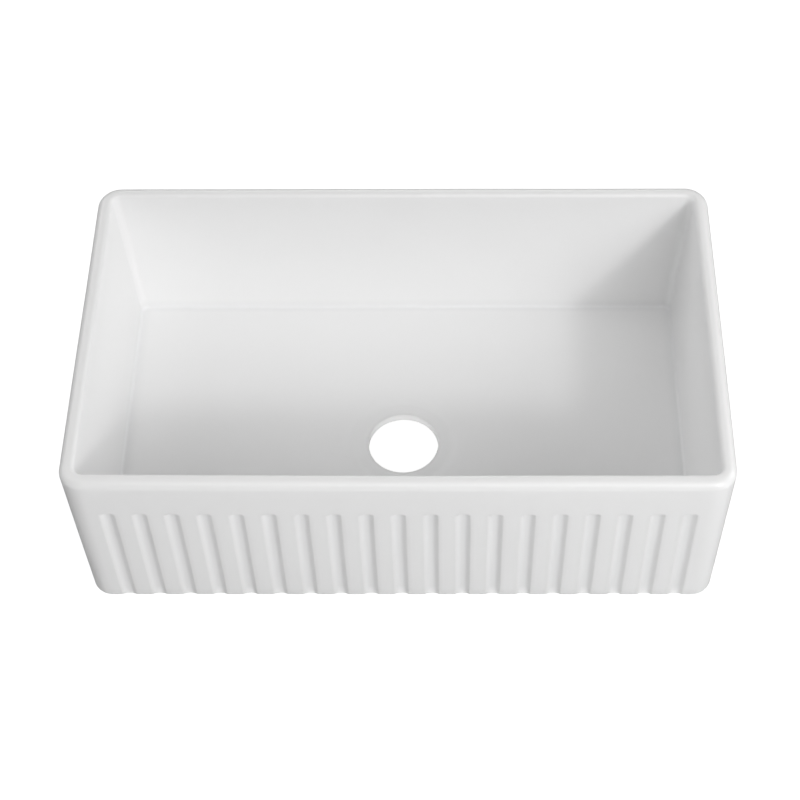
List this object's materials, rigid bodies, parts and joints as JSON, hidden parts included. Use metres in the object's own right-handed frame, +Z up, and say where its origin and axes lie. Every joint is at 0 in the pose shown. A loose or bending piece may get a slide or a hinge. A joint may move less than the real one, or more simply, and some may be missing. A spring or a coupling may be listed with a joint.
{
  "type": "kitchen sink",
  "caption": "Rectangular farmhouse apron-front kitchen sink with a deep bowl, rounded rim, round drain hole with a recessed seat, and upright flutes below a plain band on the apron.",
  "frame": {"origin": "middle of the footprint, on the surface that the foot rests on", "axes": "+X to the right seen from the apron, +Y from the apron to the back, +Z up"},
  "size_m": [0.762, 0.451, 0.248],
  "materials": {
    "white_glaze": "gloss white glaze over fireclay"
  },
  "bodies": {
    "root": {"sink_body": "white_glaze"}
  },
  "joints": []
}
